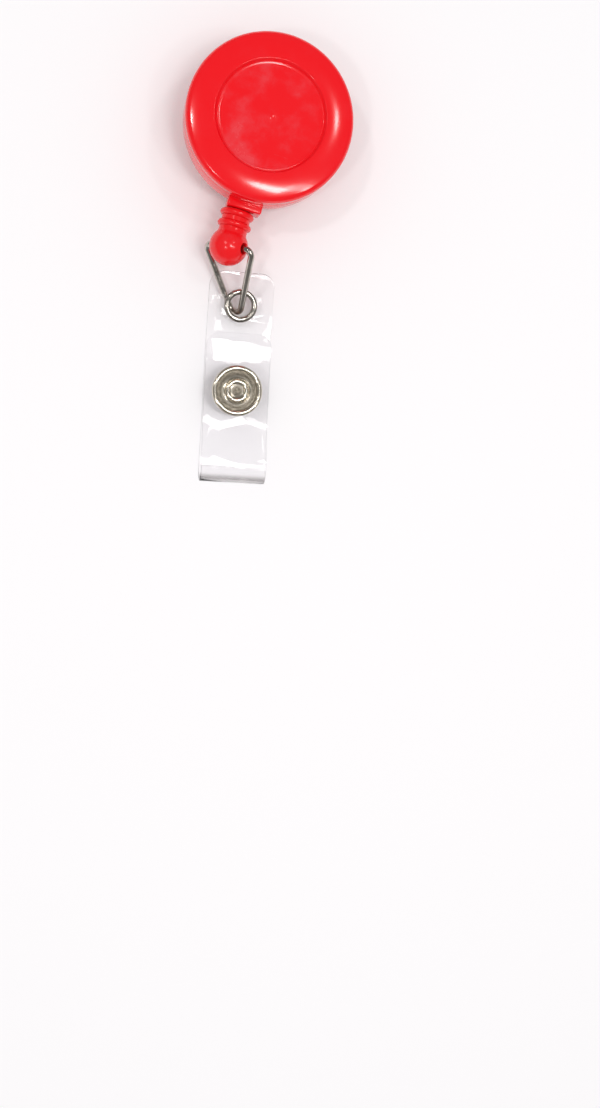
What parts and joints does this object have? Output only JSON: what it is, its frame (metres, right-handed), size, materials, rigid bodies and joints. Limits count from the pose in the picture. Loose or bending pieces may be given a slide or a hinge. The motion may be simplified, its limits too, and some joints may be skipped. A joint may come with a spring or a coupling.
{
  "type": "retractable badge reel",
  "caption": "Round retractable badge reel with a spring-wound cord, ball end fitting, wire loop, clear snap strap and a swivel clip behind.",
  "frame": {"origin": "on the round case's axis, on the flat underside of the clip that the reel lies on", "axes": "+Z out of the round front face, -Y the way the cord leaves the case, +X to the right seen from the front"},
  "size_m": [0.0344, 0.0851, 0.0148],
  "materials": {
    "red_abs": "glossy moulded red plastic",
    "soft_red_pvc": "soft glossy red vinyl",
    "black_acetal": "dull black plastic",
    "white_nylon": "braided white nylon cord",
    "white_plastic": "plain white plastic",
    "nickel_plate": "bright nickel plating",
    "plated_steel": "plated spring steel",
    "clear_vinyl": "clear glossy vinyl"
  },
  "bodies": {
    "case": {"front_cover": "red_abs", "rear_case": "red_abs", "swivel_rivet": "plated_steel", "cord_inner_run": "white_nylon", "power_spring": "plated_steel"},
    "spool": {"spool": "black_acetal", "spring_cap": "black_acetal", "wound_cord": "white_nylon"},
    "cord_end": {"cord_outer_run": "white_nylon", "cord_knot": "white_nylon"},
    "fitting": {"end_fitting": "soft_red_pvc"},
    "loop": {"wire_loop": "nickel_plate"},
    "strap": {"strap_back": "clear_vinyl", "strap_fold": "clear_vinyl", "eyelet_front": "nickel_plate", "eyelet_washer": "nickel_plate", "snap_stud": "nickel_plate", "snap_post": "nickel_plate"},
    "flap": {"strap_front": "clear_vinyl", "snap_cap": "nickel_plate", "snap_socket": "nickel_plate"},
    "clip": {"clip_upper_jaw": "plated_steel", "clip_pin": "plated_steel", "clip_spring": "plated_steel", "swivel_washer": "white_plastic"},
    "clip_jaw": {"clip_lower_jaw": "plated_steel"}
  },
  "joints": [
    {"name": "cord_pull", "type": "slide", "parent": "case", "child": "cord_end", "axis": [0, -1, 0], "range_m": [0, 0.6], "stiffness_N_per_m": 1, "springref_m": -0.6, "deforming": ["cord_outer_run"]},
    {"name": "spool_spin", "type": "hinge", "parent": "case", "child": "spool", "pos_m": [0, 0, 0.0096], "axis": [0, 0, 1], "range_deg": [-3200, 0], "deforming": ["power_spring"]},
    {"name": "fitting_twist", "type": "hinge", "parent": "cord_end", "child": "fitting", "pos_m": [-0.0008, -0.0245, 0.008], "axis": [0, -1, 0], "continuous": true},
    {"name": "loop_swing", "type": "hinge", "parent": "fitting", "child": "loop", "pos_m": [-0.0008, -0.0245, 0.008], "axis": [0.7902, -0.0045, 0.6128], "range_deg": [-100, 70]},
    {"name": "strap_swing", "type": "hinge", "parent": "loop", "child": "strap", "pos_m": [0.00464, -0.03458, 0.0019], "axis": [0.04, -0.104, 0.9938], "range_deg": [-40, 80]},
    {"name": "flap_open", "type": "hinge", "parent": "strap", "child": "flap", "pos_m": [0.01154, -0.06485, 0.0031], "axis": [0.9774, 0.2113, 0], "range_deg": [0, 100], "deforming": ["strap_fold"]},
    {"name": "clip_swivel", "type": "hinge", "parent": "case", "child": "clip", "pos_m": [0, 0, 0.005], "axis": [0, 0, 1], "continuous": true},
    {"name": "clip_open", "type": "hinge", "parent": "clip", "child": "clip_jaw", "pos_m": [0, 0.005, 0.0023], "axis": [1, 0, 0], "range_deg": [0, 16], "stiffness_Nm_per_rad": 0.02, "springref_deg": -45.84, "deforming": ["clip_spring"]}
  ],
  "couplings": [
    {"joint": "spool_spin", "follows": "cord_pull", "rad_per_m": -91.954}
  ]
}
